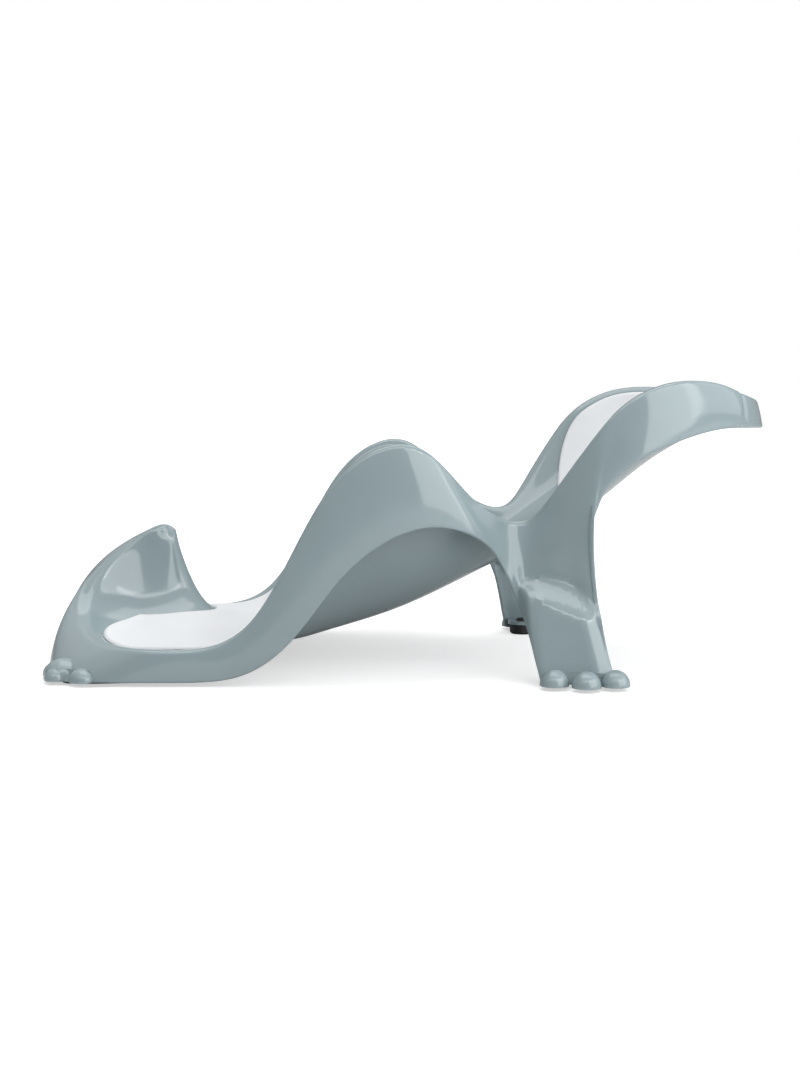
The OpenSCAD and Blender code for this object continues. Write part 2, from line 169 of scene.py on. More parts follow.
# Paws: spots on the left side, by the number of the station on the skirt's lower edge and how
# far the spot lies outside the edge there
FRONT_TOES = [(3.9, -4.3), (4.65, -0.8), (5.3, -3.8)]
INSTEP = (4.5, -8.8)
REAR_TOES = [(15.15, 5.7), (15.54, 9.1), (15.96, -0.9)]
FRONT_FOOT = (4.62, -16.8)
REAR_FOOT = (15.26, -23.1)
FRONT_WEB = [(4.12, -11.5), (4.7, -6.2), (5.34, -9.1)]
REAR_WEB = [(15.12, -7.4), (15.88, -4.9)]

# The radii of the toes and the instep with their lengths and heights as shares of those, the
# height of the skirt's lower edge over the floor, and how far over it their middles lie
FRONT_TOE_RADIUS = 9.0
TOE_LENGTH = 1.2
TOE_HEIGHT = 1.05
REAR_TOE_RADIUS = 10.7
REAR_TOE_HEIGHT = 1.05
INSTEP_RADIUS = 15.0
INSTEP_HEIGHT = 1.0
EDGE_HEIGHT = 3.0
TOE_RISE = 0.5

# The webs in the paws and the sockets in them for the rubber feet
FOOT_RADIUS = 11.0
POCKET_CLEARANCE = 0.5
WEB_HEIGHT = 9.0
WEB_CORNER = 4.0
WEB_MARGIN = 1.5

# How finely round shapes are drawn
BALL_SIDES = 56
BALL_RINGS = 29
ROUND_SIDES = 64
CORNER_SIDES = 24
HULL_DIRECTIONS = 3600


def in_mm(settings):
    """The sizes in a group of settings, in millimetres, with its counts as they are."""
    values = {name: getattr(settings, name) for name in settings.__annotations__}
    return SimpleNamespace(**{key: v / MM if isinstance(v, float) else v for key, v in values.items()})


def unit(v):
    """Vectors scaled to length one, along the last axis."""
    return v / np.maximum(np.linalg.norm(v, axis=-1, keepdims=True), NO_LENGTH)


def smooth_step(t):
    """Zero below 0, one above 1, and an even rise between them."""
    c = np.clip(t, 0.0, 1.0)
    return c * c * (3.0 - 2.0 * c)


def slopes(points):
    """Slopes of the cubic curve that bends evenly through evenly numbered points.

    At each inner point, the slope before it, four times its own and the slope after it add up to
    three times the step from the point before to the point after.
    """
    n = len(points)
    system = np.diag(np.full(n, 4.0)) + np.diag(np.ones(n - 1), 1) + np.diag(np.ones(n - 1), -1)
    system[0, 0] = system[-1, -1] = 2.0
    rise = np.empty_like(points)
    rise[1:-1] = 3.0 * (points[2:] - points[:-2])
    rise[0] = 3.0 * (points[1] - points[0])
    rise[-1] = 3.0 * (points[-1] - points[-2])
    return np.linalg.solve(system, rise)


def along(points, u, open_start=False, open_end=False):
    """Points at the numbers u on the smooth curve through points, carried on by its mirror image.

    Between two points the curve is the cubic that has both their places and both their slopes.
    """
    reach = 3
    flip = MIRROR if points.shape[1] == 3 else 1.0
    before = (points[1 : reach + 1] * flip)[::-1]
    after = (points[-reach - 1 : -1] * flip)[::-1]
    q = np.vstack(([] if open_start else [before]) + [points] + ([] if open_end else [after]))
    m = slopes(q)
    v = u + (0 if open_start else reach)
    i = np.clip(np.floor(v).astype(int), 0, len(q) - 2)
    t = (v - i)[:, None]
    return (q[i] * (1 + 2 * t) * (1 - t) ** 2 + m[i] * t * (1 - t) ** 2
            + q[i + 1] * t * t * (3 - 2 * t) + m[i + 1] * t * t * (t - 1))


def column(k):
    """One named line of the stations as an array."""
    return np.array([row[k] for row in STATIONS], dtype=float)


def edge_line(u):
    """The skirt's lower edge: the arch, the flat end of the rear leg, and the edge of the head."""
    edge = column(4)
    ahead = along(edge[: LEG_FRONT + 1], np.minimum(u, LEG_FRONT), open_end=True)
    behind = along(edge[LEG_BACK:], np.maximum(u - LEG_BACK, 0), open_start=True)
    share = np.clip(u - LEG_FRONT, 0, 1)[:, None]
    foot = edge[LEG_FRONT] + (edge[LEG_BACK] - edge[LEG_FRONT]) * share
    return np.where(u[:, None] <= LEG_FRONT, ahead, np.where(u[:, None] >= LEG_BACK, behind, foot))


def rounded_ramp(t, corner):
    """Zero below 0, one above 1 and straight between, with both corners rounded off."""
    def bend(x):
        return np.where(x > 1, x, np.clip(x + 1, 0, 2) ** 2 / 4)

    return corner * (bend(t / corner) - bend((t - 1) / corner))


def rim_side(u):
    """Level direction from the rim to its outer side, square to the rim."""
    run = along(column(3), u + RIM_STEP) - along(column(3), u - RIM_STEP)
    return unit(run[:, [1, 0, 2]] * [-1, 1, 0])


def guides(u, rim_round, outer_shoulder):
    """Guide points of the ribs u, from the centre line over the rim to the lower edge.

    The rim's two sides lie half its width from the crown, square to it. The skirt's guides share
    out the line from the rim's outer side to the lower edge, and stand out from it by the bulge
    times four times the share times what is left of it.
    """
    spine, shoulder, low, crown = (along(column(k), u) for k in range(4))
    bulge = along(column(5)[:, None], u)
    edge = edge_line(u)
    beside = (edge_line(u - CORNER_SPREAD) - 2 * edge + edge_line(u + CORNER_SPREAD)) / 4
    by_corner = smooth_step((u - CORNER_FROM) / CORNER_RUN) * smooth_step((CORNER_TO - u) / CORNER_RUN)
    soft_edge = edge + beside * by_corner[:, None]
    away = unit((edge - low) * [1, 1, 0])
    over = rim_side(u)
    near = np.clip(u, RIM_STEP, LAST - RIM_STEP)
    room = RIM_SHARE * along(column(3), near)[:, 1] / np.maximum(-rim_side(near)[:, 1], LEAST_SLANT)
    half = np.minimum(rim_round, room)[:, None]
    inner = crown - over * half
    outer = crown + over * half
    wall_run = low - inner
    wall_length = np.linalg.norm(wall_run, axis=1, keepdims=True)
    run = edge - outer
    first = np.minimum(outer_shoulder / np.linalg.norm(run, axis=1, keepdims=True), OUTER_SHARE)
    down = unit(run)
    out = unit(away - down * np.sum(away * down, axis=1, keepdims=True))
    inside = inner + unit(wall_run) * np.minimum(SHOULDER, SHOULDER_SHARE * wall_length)
    beaded = smooth_step((u - BEAD_FROM) / BEAD_RUN) * smooth_step((BEAD_TO - u) / BEAD_RUN)
    inside[:, 2] -= BEAD_DROP * beaded
    shares = [first] + [first + (1 - first) * t if t < 1 else np.ones_like(first) for t in SKIRT_PARTS]
    aims = [soft_edge + (edge - soft_edge) * t**2 for t in shares]
    skirt = [outer + (aim - outer) * t + out * bulge * 4 * t * (1 - t) for t, aim in zip(shares, aims)]
    return np.stack([spine, shoulder, low, inside, inner, crown, outer, *skirt], axis=1)


def blend_weights(w, count):
    """Weights of the guide points at the places w on a smooth line that starts square to its mirror.

    The line is the even cubic spline that the guides pull, four of them at each place.
    """
    segment = np.clip(np.floor(w).astype(int), 0, count - 2)
    t = w - segment
    basis = np.stack([(1 - t) ** 3, 3 * t**3 - 6 * t**2 + 4, -3 * t**3 + 3 * t**2 + 3 * t + 1, t**3]) / 6
    places = np.arange(count + 2)
    return sum(basis[k][..., None] * (places == (segment + k)[..., None]) for k in range(4))


def ledge(x, z, settings, soft):
    """How much of a leg's ledge stands out at x and z: a crisp step, or the soft one of its under side."""
    if soft:
        turned = ((x - LEG_FROM) / (LEG_TO - LEG_FROM) - LEDGE_TURN) / LEDGE_RUN
        height = settings.ledge_height - LEDGE_FALL * smooth_step(turned)
        return smooth_step((height + LEDGE_SOFT / 2 - z) / LEDGE_SOFT)
    top, low = (settings.ledge_height + rise - LEDGE_FALL * smooth_step((x - start) / (end - start))
                for rise, (start, end) in ((LEDGE_TOP, LEDGE_TOP_TURN), (LEDGE_LOW, LEDGE_LOW_TURN)))
    return rounded_ramp((top - z) / (top - low), LEDGE_CORNER)


def skin(u, w, settings, soft=False):
    """The outer side of the shell at ribs u and, on each, the places w, in millimetres.

    A point is the sum of its rib's guides by their weights. The headrest's crease is a bell
    curve in u taken off the outer side, and a leg's ledge is added to y. w holds one row of
    places for all ribs, or one row for each. The soft skin, with wide rounds, is the under side's.
    """
    g = guides(u, settings.rim_round, SHOULDER if soft else OUTER_SHOULDER)
    first = g[:, 1:2] * MIRROR
    last = 2 * g[:, -1:] - g[:, -2:-1]
    w = np.broadcast_to(w, (len(u), np.shape(w)[-1]))
    weights = blend_weights(w, g.shape[1])
    points = np.einsum("uwk,ukc->uwc", weights, np.concatenate([first, g, last], axis=1))
    x, z = points[..., 0], points[..., 2]
    on_leg = (x > WAIST_X) & (w > RIM_GUIDE)
    faded = smooth_step((u - LEDGE_START) / LEDGE_START_RUN)
    faded = (faded - LEDGE_FADE_DEPTH * smooth_step((u - LEDGE_FADE) / LEDGE_FADE_RUN))[:, None]
    if not soft:
        crease = TAB_CREASE_DEPTH * np.exp(-(((u - TAB_CREASE) / TAB_CREASE_RUN) ** 2))[:, None]
        points -= rim_side(u)[:, None] * np.where(w > RIM_GUIDE, crease, 0.0)[..., None]
    out = ledge(x, z, settings, soft)
    over = (z - settings.ledge_height) / LEDGE_CARVE_RUN
    carved = LEDGE_CARVE * (1 - out) * smooth_step(1 - over)
    points[..., 1] += np.where(on_leg, (settings.ledge_depth * out - carved) * faded, 0.0)
    return points


def skin_normals(u, w, settings):
    """Outward directions of the skin, from its change along the ribs and across them."""
    step = SKIN_STEP
    w = np.broadcast_to(w, (len(u), np.shape(w)[-1]))
    ahead = skin(np.minimum(u + step, LAST), w, settings) - skin(np.maximum(u - step, 0), w, settings)
    ahead[u > LAST - step / 2] = [0, -1, 0]
    across = skin(u, w + step, settings) - skin(u, np.maximum(w - step, 0), settings)
    across[w < step / 2] = [0, 1, 0]
    return unit(np.cross(ahead, across))


def ring_of(half):
    """The ribs of the left half and their mirror images, as one closed ring."""
    return np.concatenate([half, (half[1:-1] * MIRROR)[::-1]])


def ring_normals(ring):
    """Outward directions on a closed ring of ribs: the sum of the quads round a point, by area."""
    ahead = np.roll(ring, -1, axis=0)
    quads = np.cross(ahead[:, :-1] - ring[:, 1:], ahead[:, 1:] - ring[:, :-1])
    total = np.zeros_like(ring)
    for part in (quads, np.roll(quads, 1, axis=0)):
        total[:, :-1] += part
        total[:, 1:] += part
    total[:, 0, 1] = 0
    return unit(total)


def grid_faces(ids, close=False):
    """Quads over a grid of vertex numbers; close joins the last row to the first."""
    a = ids
    b = np.roll(ids, -1, axis=0)
    if not close:
        a, b = a[:-1], b[:-1]
    quads = np.stack([a[:, :-1], a[:, 1:], b[:, 1:], b[:, :-1]], axis=-1)
    return quads.reshape(-1, 4)


def shell_mesh(settings):
    """Vertices and faces of the closed shell: outer side, rounded lower edge and under side.

    The under side is the soft skin less the wall's thickness times its outward direction, and
    the lower edge is a half circle between the two.
    """
    creased = TAB_CREASE + 3 * TAB_CREASE_RUN * np.linspace(-1, 1, TAB_CREASE_RIBS)
    u = np.sort(np.concatenate([np.linspace(0, LAST, settings.ribs + 1), creased]))
    ribs = len(u) - 1
    per_part = settings.across
    w = np.linspace(0, GUIDES - 1, (GUIDES - 1) * per_part + 1)
    rings = []
    for soft in (False, True):
        half = skin(u, w, settings, soft)
        half[0, :, 1] = half[-1, :, 1] = 0
        half[:, 0, 1] = 0
        rings.append(ring_of(half))
    ring, bed = rings
    normals = ring_normals(bed)
    wall = settings.wall
    edge_run = np.roll(ring[:, -1], -1, axis=0) - np.roll(ring[:, -1], 1, axis=0)
    outwards = unit(np.cross(normals[:, -1], unit(edge_run)))
    under = bed - normals * wall
    left = under[1:ribs, 1:]
    left[..., 1] = np.maximum(left[..., 1], HALF_WEB)
    under[ribs + 1 :, 1:] = (left * MIRROR)[::-1]
    under[[0, ribs], :, 1] = 0
    turn = np.linspace(0, math.pi, LIP_STEPS)[1:-1, None]
    centre = (ring[:, -1] - normals[:, -1] * wall / 2)[:, None]
    lip = centre + wall / 2 * (normals[:, -1:] * np.cos(turn) + outwards[:, None] * np.sin(turn))
    layers = np.concatenate([ring[:, 1:], lip, under[:, :0:-1]], axis=1)
    count, depth = layers.shape[:2]
    top = ring[: ribs + 1, 0]
    bottom = under[: ribs + 1, 0] * [1, 0, 1]
    vertices = np.concatenate([layers.reshape(-1, 3), top, bottom])
    body_ids = np.arange(count * depth).reshape(count, depth)
    spine = np.minimum(np.arange(count), count - np.arange(count))
    ids = np.column_stack([count * depth + spine, body_ids, count * depth + ribs + 1 + spine])
    return vertices, grid_faces(ids, close=True).tolist()


class SeatShellSettings(bpy.types.PropertyGroup):
    """Sizes of the moulded shell."""

    wall: FloatProperty(
        name="Wall", description="Thickness of the moulded wall", default=3.0 * MM, subtype="DISTANCE")
    rim_round: FloatProperty(
        name="Rim", description="Half width of the rounded rim", default=4.5 * MM, subtype="DISTANCE")
    ledge_depth: FloatProperty(
        name="Ledge depth", description="How far a leg's ledge stands out",
        default=10.0 * MM, subtype="DISTANCE")
    ledge_height: FloatProperty(
        name="Ledge height", description="Height of a leg's ledge", default=65.5 * MM, subtype="DISTANCE")
    ribs: IntProperty(name="Ribs", description="Ribs on one half of the shell", default=252)
    across: IntProperty(name="Across", description="Places on a rib between two guide points", default=5)


def ball(centre, radius, lengths, run):
    """A closed ellipsoid whose first length lies along run.

    On the unit ball, a point at latitude b and turn a is cos b cos a, cos b sin a, sin b. It is
    scaled by the radius and the three lengths, turned to run and moved to the centre.
    """
    lift = np.linspace(-math.pi / 2, math.pi / 2, BALL_RINGS)[1:-1, None]
    turn = np.arange(BALL_SIDES) * 2 * math.pi / BALL_SIDES
    x, y = np.cos(lift) * np.cos(turn), np.cos(lift) * np.sin(turn)
    body = np.stack([x, y, np.broadcast_to(np.sin(lift), x.shape)], -1).reshape(-1, 3)
    points = np.vstack([body, [0, 0, -1], [0, 0, 1]]) * radius * np.asarray(lengths)
    c, s = unit(np.asarray(run, dtype=float))
    points = points @ np.array([[c, s, 0], [-s, c, 0], [0, 0, 1]]) + centre
    ids = np.arange(len(body)).reshape(-1, BALL_SIDES)
    nxt = np.roll(ids, -1, axis=1)
    quads = np.stack([ids[:-1], nxt[:-1], nxt[1:], ids[1:]], -1).reshape(-1, 4)
    low = np.column_stack([nxt[0], ids[0], np.full(BALL_SIDES, len(body))])
    high = np.column_stack([ids[-1], nxt[-1], np.full(BALL_SIDES, len(body) + 1)])
    return points, quads.tolist() + low.tolist() + high.tolist()


def prism(outline, low, high):
    """A closed upright prism: a plan outline that runs anticlockwise, at two heights."""
    n = len(outline)
    points = np.vstack([np.column_stack([outline, np.full(n, z)]) for z in (low, high)])
    a = np.arange(n)
    b = (a + 1) % n
    sides = np.column_stack([a, b, b + n, a + n]).tolist()
    return points, sides + [list(a[::-1]), list(a + n)]


def circle(centre, radius, sides):
    """Points round a circle in plan, anticlockwise: the centre plus the radius times cosine and sine."""
    turn = np.arange(sides) * 2 * math.pi / sides
    return np.array(centre)[:2] + radius * np.column_stack([np.cos(turn), np.sin(turn)])


def outline_round(points):
    """The tight outline round plan points, anticlockwise: the farthest point in each direction in turn."""
    farthest = np.argmax(circle((0, 0), 1, HULL_DIRECTIONS) @ points.T, axis=1)
    return points[farthest[farthest != np.roll(farthest, 1)]]


def spot(place, settings, side=1):
    """A plan spot by its place along the lower edge and its distance outside it."""
    u = np.array([float(place[0])])
    edge = edge_line(u)
    away = unit((edge - along(column(2), u)) * [1, 1, 0])
    out = place[1] + (settings.ledge_depth if place[0] > LEG_FRONT else 0)
    return ((edge + away * out)[0, :2]) * [1, side]


def solid(name, points, faces):
    """A plain closed mesh object in millimetres, for joining into the shell."""
    mesh = bpy.data.meshes.new(name)
    mesh.from_pydata(np.asarray(points) - [LENGTH / 2, 0, 0], [], faces)
    piece = bpy.data.objects.new(name, mesh)
    bpy.context.scene.collection.objects.link(piece)
    return piece


def combine(base, others, how):
    """Join or cut closed meshes with a boolean, and drop the tools."""
    for other in others:
        change = base.modifiers.new("change", "BOOLEAN")
        change.operation = how
        change.solver = "MANIFOLD"
        change.object = other
    graph = bpy.context.evaluated_depsgraph_get()
    made = bpy.data.meshes.new_from_object(base.evaluated_get(graph))
    base.modifiers.clear()
    base.data = made
    for other in others:
        bpy.data.objects.remove(other)
    return base


def one_of(parts):
    """The union of several closed meshes."""
    return combine(parts[0], parts[1:], "UNION")


def paw_parts(settings):
    """Toes, their hollows, the webs and the sockets of all four paws, as lists of closed meshes."""
    centre_height = EDGE_HEIGHT + TOE_RISE
    toes, hollows, webs, sockets = [], [], [], []
    for side in (1, -1):
        instep = spot(INSTEP, settings, side)
        balls = [(p, FRONT_TOE_RADIUS, (TOE_LENGTH, 1, TOE_HEIGHT)) for p in FRONT_TOES]
        balls += [(p, REAR_TOE_RADIUS, (1, 1, REAR_TOE_HEIGHT)) for p in REAR_TOES]
        for place, radius, lengths in balls + [(INSTEP, INSTEP_RADIUS, (1, 1, INSTEP_HEIGHT))]:
            at = spot(place, settings, side)
            run = at - instep if place != INSTEP else np.array([1.0, 0.0])
            for made, size in ((toes, radius), (hollows, radius - settings.wall)):
                centre = [*(at + unit(run) * size * (1 - lengths[0])), centre_height]
                made.append(solid("toe", *ball(centre, size, lengths, run)))
        for foot, corners in ((FRONT_FOOT, FRONT_WEB), (REAR_FOOT, REAR_WEB)):
            centre = spot(foot, settings, side)
            rings = [circle(spot(p, settings, side), WEB_CORNER, CORNER_SIDES) for p in corners]
            rings.append(circle(centre, FOOT_RADIUS + WEB_MARGIN, ROUND_SIDES))
            outline = outline_round(np.vstack(rings))
            webs.append(solid("web", *prism(outline, WEB_HEIGHT, WEB_HEIGHT + settings.wall)))
            pocket = circle(centre, FOOT_RADIUS + POCKET_CLEARANCE, ROUND_SIDES)
            sockets.append(solid("socket", *prism(pocket, -WEB_HEIGHT, WEB_HEIGHT)))
    return toes, hollows, webs, sockets


class BATHSEAT_OT_shell(bpy.types.Operator):
    """Make the moulded shell with its hollow toes and the webs that hold the feet"""

    bl_idname = "bathseat.shell"
    bl_label = "Shell"

    def execute(self, context):
        settings = in_mm(context.scene.seat_shell)
        shell = solid("moulded_shell", *shell_mesh(settings))
        toes, hollows, webs, sockets = paw_parts(settings)
        far = LENGTH
        square = np.array([[-far, -far], [2 * far, -far], [2 * far, far], [-far, far]])
        floor = solid("floor", *prism(square, -far, EDGE_HEIGHT))
        combine(shell, [one_of(toes)], "UNION")
        combine(shell, [one_of(hollows)], "DIFFERENCE")
        combine(shell, [one_of(webs)], "UNION")
        combine(shell, [one_of(sockets + [floor])], "DIFFERENCE")
        shell.data.transform(Matrix.Scale(MM, 4))
        shell.data.shade_smooth()
        shell.data.set_sharp_from_angle(angle=math.radians(SHARP_FROM))
        shell.data.materials.clear()
        shell.data.materials.append(plastic_material())
        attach(shell, BODY)
        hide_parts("shell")
        return {"FINISHED"}


# The seat pad is a U round the foot of the pommel that closes behind it, and the head pad fills
# the headrest. Both are given by rib numbers, and by a place across the rib.
SEAT_PAD_START = 3.43
SEAT_PAD_CLOSES = 5.0
SEAT_PAD_STRAIGHT = 8.2
SEAT_PAD_END = 9.2
SEAT_PAD_TURN = 5.6
SEAT_PAD_TURN_RUN = 0.6
HEAD_PAD_START = 15.8
HEAD_PAD_STRAIGHT = 18.0
PAD_RIM = 3.2
HEAD_RIM = 3.5

# The seat pad's horns: the place where both their sides meet, how far the inner side starts from
# it, how quickly each side runs out, and the round at the tip
LOBE = 2.1
NOTCH_SHARE = 0.9
NOTCH_POWER = 0.6
HORN_RIM = 3.7
HORN_POWER = 1.6
HORN_ROUND = 0.3
NOSE_POWER = 0.84

# How tight the pads are filled, and the distances within which their points are welded, in metres
WELD = 0.00002
SLIVER = 0.00001
GAP_BATCHES = 24


def quarter_steps(a, b, count, at_start=True):
    """Steps from a to b that crowd together at one end as on a quarter circle, and their sines."""
    t = np.linspace(0, math.pi / 2, count)
    if at_start:
        return a + (b - a) * (1 - np.cos(t)), np.sin(t)
    return a + (b - a) * np.sin(t), np.cos(t)


def seat_pad_rows(rows):
    """Rib numbers of the seat pad's rows, with the place where each row starts and ends.

    In the horns, both places follow a power of how far the row lies before the spot where the
    pad closes, and the inner one turns out to the outer one round the tip on a quarter circle.
    The back end is drawn in on a quarter circle too. Of the given number, a third is for the
    horns, half for the seat and a quarter for the back end.
    """
    tip, _ = quarter_steps(SEAT_PAD_START, SEAT_PAD_CLOSES, rows // 3)
    tail, tail_pinch = quarter_steps(SEAT_PAD_STRAIGHT, SEAT_PAD_END, rows // 4, False)
    mid = np.linspace(SEAT_PAD_CLOSES, SEAT_PAD_STRAIGHT, rows // 2)[1:-1]
    u = np.concatenate([tip, mid, tail])
    share = np.clip((SEAT_PAD_CLOSES - u) / (SEAT_PAD_CLOSES - SEAT_PAD_START), 0, 1)
    turned_in = np.clip((u - SEAT_PAD_START) / HORN_ROUND, 0, 1)
    start = NOTCH_SHARE * LOBE * share**NOTCH_POWER
    start = LOBE - (LOBE - start) * np.sqrt(1 - (1 - turned_in) ** 2)
    rim = PAD_RIM + (HORN_RIM - PAD_RIM) * smooth_step((SEAT_PAD_TURN - u) / SEAT_PAD_TURN_RUN)
    end = np.where(share > 0, LOBE + (rim - LOBE) * (1 - share**HORN_POWER), rim)
    end[-len(tail) :] *= tail_pinch
    return u, start, end


def head_pad_rows(rows):
    """Rib numbers of the head pad's rows, with the place where each row starts and ends.

    The nose has half the given number and widens with a power of the sine of a quarter turn. The
    rest has the whole number and keeps to the rim.
    """
    nose, pinch = quarter_steps(HEAD_PAD_START, HEAD_PAD_STRAIGHT, rows // 2)
    rest = np.linspace(HEAD_PAD_STRAIGHT, LAST, rows)[1:]
    u = np.concatenate([nose, rest])
    return u, np.zeros(len(u)), HEAD_RIM * np.concatenate([pinch**NOSE_POWER, np.ones(len(rest))])


def pad_mesh(u, start, end, columns, pad, shell):
    """A pad as a patch of the skin, raised by its thickness and rounded off at its outline.

    A point's height follows a quarter circle: it grows from nothing at the outline and is full
    one edge radius inside it, and it stands along the skin's outward direction.
    """
    share = (1 - np.cos(np.linspace(0, math.pi, columns))) / 2
    w = start[:, None] + (end - start)[:, None] * share
    base = skin(u, w, shell)
    normal = skin_normals(u, w, shell)
    middle = start < TINY
    to_tip = u[-1] > LAST - TINY

    def to_middle(layer):
        layer[middle, 0, 1] = 0
        if to_tip:
            layer[-1, :, 1] = 0
        return layer

    base = to_middle(base)
    free = [base[:, -1], base[~middle, 0]]
    if not middle.all():
        free.append(base[[np.argmax(middle)], 0])
    if not to_tip:
        free.append(base[-1])
    outline = np.vstack(free)
    gap = np.concatenate([np.linalg.norm(part[:, None] - outline[None], axis=2).min(axis=1)
                          for part in np.array_split(base.reshape(-1, 3), GAP_BATCHES)])
    round_in = np.clip(gap.reshape(base.shape[:2]) / pad.edge_round, 0, 1)
    lift = pad.gap + pad.thickness * np.sqrt(1 - (1 - round_in) ** 2)
    return to_middle(base + normal * lift[..., None]), to_middle(base + normal * pad.gap)


def pad_object(name, rows, node, settings):
    """The pad on both sides of the middle, welded into one closed mesh."""
    top, low = pad_mesh(*rows, settings.columns, settings, in_mm(bpy.context.scene.seat_shell))
    count = top.shape[0] * top.shape[1]
    ids = np.arange(count).reshape(top.shape[:2])
    up = grid_faces(ids)
    vertices = np.vstack([q.reshape(-1, 3) for q in (top, low, top * MIRROR, low * MIRROR)])
    faces = np.vstack([up, up[:, ::-1] + count, up[:, ::-1] + 2 * count, up + 3 * count])
    mesh = bpy.data.meshes.new(name)
    mesh.from_pydata((vertices - [LENGTH / 2, 0, 0]) * MM, [], faces.tolist())
    work = bmesh.new()
    work.from_mesh(mesh)
    bmesh.ops.remove_doubles(work, verts=work.verts, dist=WELD)
    bmesh.ops.dissolve_degenerate(work, edges=work.edges, dist=SLIVER)
    bmesh.ops.recalc_face_normals(work, faces=work.faces)
    work.to_mesh(mesh)
    work.free()
    mesh.shade_smooth()
    piece = bpy.data.objects.new(name, mesh)
    bpy.context.scene.collection.objects.link(piece)
    mesh.materials.append(pad_material())
    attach(piece, BODY)
    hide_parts(node)
    return piece


class SeatPadSettings(bpy.types.PropertyGroup):
    """Sizes of the two soft pads."""

    thickness: FloatProperty(
        name="Thickness", description="Thickness of a pad", default=3.2 * MM, subtype="DISTANCE")
    gap: FloatProperty(
        name="Bed", description="Height of a pad's under side over the shell",
        default=0.15 * MM, subtype="DISTANCE")
    edge_round: FloatProperty(
        name="Edge", description="How far in a pad's edge is rounded", default=3.0 * MM, subtype="DISTANCE")
    rows: IntProperty(name="Rows", description="Number that a pad's rows are shared out from", default=140)
    columns: IntProperty(name="Columns", description="Columns of one half of a pad", default=44)


class BATHSEAT_OT_pads(bpy.types.Operator):
    """Make the seat pad and the head pad"""

    bl_idname = "bathseat.pads"
    bl_label = "Pads"

    def execute(self, context):
        settings = in_mm(context.scene.seat_pads)
        pad_object("soft_seat_pad", seat_pad_rows(settings.rows), "seat_pad", settings)
        pad_object("soft_head_pad", head_pad_rows(settings.rows), "head_pad", settings)
        return {"FINISHED"}


class BATHSEAT_OT_feet(bpy.types.Operator):
    """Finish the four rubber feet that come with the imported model"""

    bl_idname = "bathseat.feet"
    bl_label = "Rubber feet"

    def execute(self, context):
        for name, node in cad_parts.items():
            if name.startswith("foot_"):
                node.data.materials.clear()
                node.data.materials.append(rubber_material())
        return {"FINISHED"}


class SeatFinishSettings(bpy.types.PropertyGroup):
    """Colours of the seat's three materials."""

    plastic: FloatVectorProperty(
        name="Plastic", description="Colour of the moulded shell",
        default=(0.25, 0.316, 0.335), subtype="COLOR")
    pad: FloatVectorProperty(
        name="Pads", description="Colour of the soft pads",
        default=(0.705, 0.72, 0.735), subtype="COLOR")
    rubber: FloatVectorProperty(
        name="Rubber", description="Colour of the rubber feet",
        default=(0.016, 0.016, 0.017), subtype="COLOR")


# The range over which the drift of a finish runs, of the noise's own values
DRIFT_RANGE = (0.35, 0.65)
DRIFT_DETAIL = 3.0
RELIEF_DETAIL = 2.0
PLASTIC_IOR = 1.62


def new_material(name):
    """A new material, its node tree and its Principled shader."""
    material = bpy.data.materials.new(name)
    material.use_nodes = True
    tree = material.node_tree
    shader = tree.nodes["Principled BSDF"]
    return material, tree, shader


def noise_on(tree, place, scale, detail=RELIEF_DETAIL):
    """Noise on object coordinates."""
    noise = tree.nodes.new("ShaderNodeTexNoise")
    noise.inputs["Scale"].default_value = scale
    noise.inputs["Detail"].default_value = detail
    tree.links.new(place.outputs["Object"], noise.inputs["Vector"])
    return noise


def finish_of(name, colour, drift_share, roughness, drift_scale, reliefs):
    """A finish whose colour and roughness drift a little over the piece, under layers of fine relief.

    Both follow one broad noise: the colour is its own value less the share where the noise is low
    and more by it where it is high, and the roughness runs from its first value to its second.
    Each relief gives the scale, strength and distance of its noise.
    """
    if name in bpy.data.materials:
        return bpy.data.materials[name]
    material, tree, shader = new_material(name)
    add, link = tree.nodes.new, tree.links.new
    place = add("ShaderNodeTexCoord")
    drift = noise_on(tree, place, drift_scale, DRIFT_DETAIL)
    tint = add("ShaderNodeValToRGB")
    shares = (1 - drift_share, 1 + drift_share)
    for stop, level, share in zip(tint.color_ramp.elements, DRIFT_RANGE, shares):
        stop.position = level
        stop.color = (*(part * share for part in colour), 1)
    shine = add("ShaderNodeMapRange")
    for key, value in zip(("From Min", "From Max", "To Min", "To Max"), DRIFT_RANGE + roughness):
        shine.inputs[key].default_value = value
    link(drift.outputs["Fac"], tint.inputs["Fac"])
    link(drift.outputs["Fac"], shine.inputs["Value"])
    link(tint.outputs["Color"], shader.inputs["Base Color"])
    link(shine.outputs["Result"], shader.inputs["Roughness"])
    lower = None
    for scale, strength, distance in reliefs:
        bump = add("ShaderNodeBump")
        bump.inputs["Strength"].default_value = strength
        bump.inputs["Distance"].default_value = distance
        link(noise_on(tree, place, scale).outputs["Fac"], bump.inputs["Height"])
        if lower:
            link(lower.outputs["Normal"], bump.inputs["Normal"])
        lower = bump
    link(lower.outputs["Normal"], shader.inputs["Normal"])
    return material


def plastic_material():
    """Glossy blue-grey moulded plastic, a little uneven as a moulding cools."""
    colour = bpy.context.scene.seat_finish.plastic
    material = finish_of("moulded_plastic", colour, 0.03, (0.085, 0.14), 14.0,
                         [(60.0, 0.02, 0.001), (2400.0, 0.04, 0.0001)])
    material.node_tree.nodes["Principled BSDF"].inputs["IOR"].default_value = PLASTIC_IOR
    return material


def pad_material():
    """Soft white elastomer with a fine matt grain."""
    colour = bpy.context.scene.seat_finish.pad
    return finish_of("soft_pad", colour, 0.02, (0.55, 0.72), 22.0,
                     [(260.0, 0.08, 0.0006), (1500.0, 0.22, 0.0003)])


